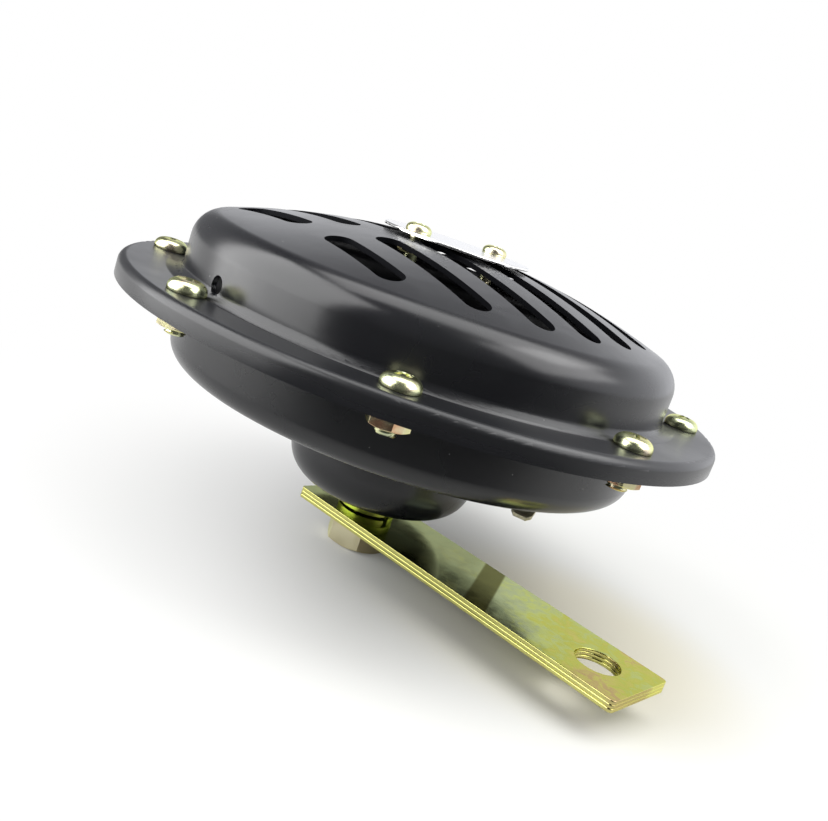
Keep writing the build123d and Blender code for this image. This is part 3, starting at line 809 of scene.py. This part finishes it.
def even_rings(piece, top):
    """Below `top`, gives a turned form the same shading all the way round each ring of vertices."""
    mesh = piece.data
    rings, corners = {}, []
    for loop in mesh.loops:
        place = mesh.vertices[loop.vertex_index].co - horn_axis
        out = flattened(place).normalized()
        normal = Vector(mesh.corner_normals[loop.index].vector)
        slope = math.atan2(normal.z, normal.dot(out))
        ring = None
        if place.z < top and abs(normal.dot(Vector((-out.y, out.x, 0)))) < SIDEWAYS:
            ring = (round(flattened(place).length / RING_STEP), round(place.z / RING_STEP))
            rings.setdefault(ring, []).append(slope)
        corners.append((normal, out, slope, ring))
    means = {ring: slope_groups(slopes) for ring, slopes in rings.items()}
    normals = []
    for normal, out, slope, ring in corners:
        if ring:
            even = min(means[ring], key=lambda mean: abs(mean - slope))
            normal = out * math.cos(even) + Vector((0, 0, math.sin(even)))
        normals.append(normal)
    mesh.normals_split_custom_set(normals)
    return piece


for pressing in ("front_cover", "rear_housing"):
    copy = flat_faces_stay_flat(merged_copy(pressing, "_smoothed", "black_paint", False), 35)
    stand_in(even_rings(copy, slots_start), pressing)
    print(pressing, len(copy.data.polygons), "faces")

# %% The smaller pieces, with rounded edges
rounded("mounting_bolt", 0.25 * MM, "yellow_zinc", "bolt_zinc", angle=25)
rounded("plain_washer", 0.25 * MM, "yellow_zinc", "washer_zinc")
rounded("name_plate", 0.1 * MM, "bright_aluminium")
rounded("adjusting_screw", 0.12 * MM, "yellow_zinc")
rounded("adjusting_lock_nut", 0.15 * MM, "yellow_zinc", angle=25)
for number in (1, 2):
    rounded(f"terminal_blade_{number}", 0.12 * MM, "tinned_brass", angle=25)
    rounded(f"terminal_insulator_{number}", 0.2 * MM, "phenolic_board")
    rounded(f"terminal_rivet_{number}", 0.3 * MM, "tinned_brass")
    rounded(f"breaker_rivet_{number}", 0.3 * MM, "tinned_brass")

# %% [markdown]
# ## The spring washer
# A spring washer is a square wire wound once, with its two ends apart in height. It is wound here in
# the same way: one square section is carried round the bolt and climbs steadily from end to end.

# %% Spring washer
def wound_washer(name, inner, outer, low, high, rise, gap, segments=72):
    """A square section wound once about the horn's axis, with a gap given as an angle."""
    build = bmesh.new()
    wire = high - low - rise
    sections = []
    for step in range(segments + 1):
        share = step / segments
        angle = gap / 2 + (2 * math.pi - gap) * share
        foot = low + rise * share
        square = [(inner, foot), (outer, foot), (outer, foot + wire), (inner, foot + wire)]
        sections.append([build.verts.new(polar(radius, angle, height)) for radius, height in square])
    for here, there in zip(sections, sections[1:]):
        for side in range(4):
            following = (side + 1) % 4
            build.faces.new((here[side], here[following], there[following], there[side]))
    build.faces.new(sections[0])
    build.faces.new(sections[-1])
    bmesh.ops.translate(build, verts=build.verts, vec=horn_axis)
    washer = made_of(build, name)
    washer.data.materials.append(materials["washer_zinc"])
    return round_edges(washer, 0.15 * MM, 50)


BOLT_BORE = 4.1 * MM  # radius of the washer's hole
END_RISE = 0.35 * MM  # how far apart in height the washer's two ends are
SPLIT = 0.2  # radians between its ends

ring_low, ring_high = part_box("spring_washer")
ring_outer = (ring_high.y - ring_low.y) / 2
wound = wound_washer("wound_washer", BOLT_BORE, ring_outer, ring_low.z, ring_high.z, END_RISE, SPLIT)
stand_in(wound, "spring_washer")
print("spring washer:", len(wound.data.polygons), "faces")

# %% [markdown]
# ## Where things are in the studio
# The light is placed by the view: behind the part, in front of it, and to its left and right. The camera
# is the one fixed thing, so the directions are taken from the way it looks.

# %% The view and its directions
eye = Vector((66.2, -161.1, 72.9)) * MM
look = Vector((-0.6021, 0.7669, -0.2221))
back_way = flattened(look).normalized()
side_way = Vector((look.y, -look.x, 0)).normalized()
up = Vector((0, 0, 1))
under_horn = Vector((horn_axis.x, horn_axis.y, floor_height))
print("camera", round((eye - horn_axis).length / MM), "mm from the foot of the horn's axis")

# %% [markdown]
# ## A white sweep
# The part stands on seamless white paper. Far from the part the paper is plain white for the camera and
# for reflections, and close to it more of the true shading is let through, so that a soft shadow shows.
# Gloss sees the paper end behind the camera, which is what keeps the front of the horn black.

# %% White sweep
SHADE_CENTRE = under_horn + side_way * 50 * MM - back_way * 10 * MM  # the soft shadow's middle
SHADE_NEAR, SHADE_FAR = 36 * MM, 172 * MM  # from it, the shading fades between these distances
WARM_NEAR, WARM_FAR = 20 * MM, 50 * MM  # and the bracket's light, painted into the paper as a yellow tint, fades between these
COOL_PAPER = rgba(0.575, 0.575, 0.555)
# painted light: the paper's colour near the shadow's middle, tinted yellow for the light that the bracket
# throws
PAPER_WITH_PAINTED_BOUNCE = rgba(0.57, 0.545, 0.45)


def white_sweep():
    finish = Finish("white_sweep")
    spot = finish.spot()
    apart = finish.vector("SUBTRACT", spot, under_horn)
    reach = finish.length(finish.vector("SUBTRACT", spot, SHADE_CENTRE))
    # painted light: left of the horn the paper shows more of the white glow, so its shadow is lighter there
    painted_left_glow = finish.steps(finish.along(apart, -side_way), -10 * MM, 30 * MM, 0.0, 0.32)
    clear = finish.steps(reach, SHADE_NEAR, SHADE_FAR, 0.04, 1.0)
    clear = clear + painted_left_glow * (1 - clear)
    behind = finish.steps(finish.along(apart, back_way), -160 * MM, -20 * MM)
    camera_ray = finish.node("ShaderNodeLightPath", output="Is Camera Ray")
    glossy_ray = finish.node("ShaderNodeLightPath", output="Is Glossy Ray")
    shown = finish.larger(camera_ray * clear, glossy_ray * behind * clear)
    # painted light: the paper is tinted yellow near the shadow's middle, for the light that the bracket
    # throws
    painted_bounce = finish.steps(reach, WARM_NEAR, WARM_FAR, 1.0, 0.0)
    tone = finish.blend(painted_bounce, COOL_PAPER, PAPER_WITH_PAINTED_BOUNCE)
    paper = finish.node("ShaderNodeBsdfDiffuse", inputs={"Color": tone})
    dark = finish.node("ShaderNodeEmission", inputs={"Color": rgba(0.05, 0.05, 0.05), "Strength": 1.0})
    glow = finish.node("ShaderNodeEmission", inputs={"Color": rgba(1.0, 1.0, 1.0), "Strength": 1.0})
    ahead = glossy_ray * (1 - behind)
    ended = finish.node("ShaderNodeMixShader", inputs={0: ahead, 1: paper, 2: dark})
    mixed = finish.node("ShaderNodeMixShader", inputs={0: shown, 1: ended, 2: glow})
    finish.node("ShaderNodeOutputMaterial", inputs={"Surface": mixed})
    return finish.material


SWEEP_HALF = 2.5  # metres from the origin to each side of the paper
floor_mesh = bpy.data.meshes.new("floor")
corners = [(-1, -1), (1, -1), (1, 1), (-1, 1)]
spread = [(x * SWEEP_HALF, y * SWEEP_HALF, floor_height) for x, y in corners]
floor_mesh.from_pydata(spread, [], [(0, 1, 2, 3)])
floor = new_object("floor", floor_mesh)
floor.data.materials.append(white_sweep())
print("floor at", round(floor_height / MM, 2), "mm")

# %% [markdown]
# ## The room around the part
# Gloss shows the room, so the room has a form: white paper behind and beside the part with a dim gap at
# the left, a dimmer ceiling, and dark behind the camera. The camera itself sees plain white. Matt
# surfaces get an even, softer light.

# %% World
world = bpy.data.worlds.new("studio")
bpy.context.scene.world = world
world.use_nodes = True
sky = Graph(world.node_tree)
direction = sky.node("ShaderNodeTexCoord", output="Generated")
facing_back = sky.along(direction, (back_way + side_way * 0.35).normalized())
facing_left = sky.along(direction, -side_way)
paper_wall = sky.steps(facing_back, -0.4, 0.2, 0.14, 1.0)
left_gap = sky.steps(facing_left, 0.3, 0.42) * sky.steps(facing_left, 0.88, 0.96, 1.0, 0.0)
right_fill = sky.steps(facing_left, -0.7, -0.2, 0.45, 0.0)
ceiling = sky.steps(sky.along(direction, up), 0.35, 0.8, 1.0, 0.3)
level = paper_wall * (1 - left_gap * 0.75) * (1 + right_fill) * ceiling
room = sky.node("ShaderNodeCombineXYZ", inputs={0: level * 0.98, 1: level * 0.99, 2: level * 1.03})
glossy_ray = sky.node("ShaderNodeLightPath", output="Is Glossy Ray")
camera_ray = sky.node("ShaderNodeLightPath", output="Is Camera Ray")
clear_ray = sky.node("ShaderNodeLightPath", output="Is Transmission Ray")
even = sky.node("ShaderNodeBackground", inputs={"Color": rgba(0.95, 0.97, 1.0), "Strength": 0.42})
mirrored = sky.node("ShaderNodeBackground", inputs={"Color": room, "Strength": 1.0})
white = sky.node("ShaderNodeBackground", inputs={"Color": rgba(1, 1, 1), "Strength": 1.0})
lit = sky.node("ShaderNodeMixShader", inputs={0: glossy_ray, 1: even, 2: mirrored})
seen = sky.node("ShaderNodeMixShader", inputs={0: sky.larger(camera_ray, clear_ray), 1: lit, 2: white})
sky.node("ShaderNodeOutputWorld", inputs={"Surface": seen})
print("world nodes:", len(world.node_tree.nodes))

# %% [markdown]
# ## The camera and the lamps
# The camera stands close in front of the part and a little above it, and it is rolled, so that the part
# tilts in the view. Three soft lamps join the room's light: a wide one overhead for the line along the
# wall's foot, a panel on the left for the bright patch on the cover's wall, and a weaker one on the right.

# %% Camera
camera_roll = 19.2  # degrees, the horizon's slope in the view
focal_length = 42.1  # mm on a 36 mm wide sensor
camera_data = bpy.data.cameras.new("camera")
camera_data.lens = focal_length
camera_data.sensor_width = 36.0
camera_data.clip_start = 5 * MM
camera = new_object("camera", camera_data)
aim = look.to_track_quat("-Z", "Y").to_matrix().to_4x4()
camera.matrix_world = Matrix.Translation(eye) @ aim @ Matrix.Rotation(math.radians(camera_roll), 4, "Z")
bpy.context.scene.camera = camera
print("lens", focal_length, "mm")


# %% Lamps, with places and sizes in metres and power in watts
def soft_lamp(name, place, target, width, height, power, across):
    """A rectangular lamp that faces its target, with its width along a direction."""
    data = bpy.data.lights.new(name, "AREA")
    data.shape = "RECTANGLE"
    data.size = width
    data.size_y = height
    data.energy = power
    lamp = new_object(name, data)
    away = (place - target).normalized()
    second = away.cross(across).normalized()
    turn = Matrix((second.cross(away), second, away)).transposed().to_4x4()
    lamp.matrix_world = Matrix.Translation(place) @ turn
    lamp.visible_camera = False


centre = Vector((horn_axis.x, horn_axis.y, (housing_bottom + cover_high.z) / 2))
overhead = centre + up * 0.7 + side_way * 0.12
left_panel = centre - side_way * 0.24 - back_way * 0.095 + up * 0.08
right_panel = centre + side_way * 0.30 - back_way * 0.14 + up * 0.28
soft_lamp("overhead", overhead, centre, width=1.1, height=0.5, power=6.0, across=side_way)
soft_lamp("left_panel", left_panel, centre, width=0.34, height=0.42, power=2.2, across=back_way)
soft_lamp("right_panel", right_panel, centre, width=0.36, height=0.32, power=1.3, across=back_way)

# %% [markdown]
# ## Closing
# The view transform is set to Standard, and the scene is brought up to date.

# %% The view transform and the end
bpy.context.scene.view_settings.view_transform = "Standard"
bpy.context.view_layer.update()
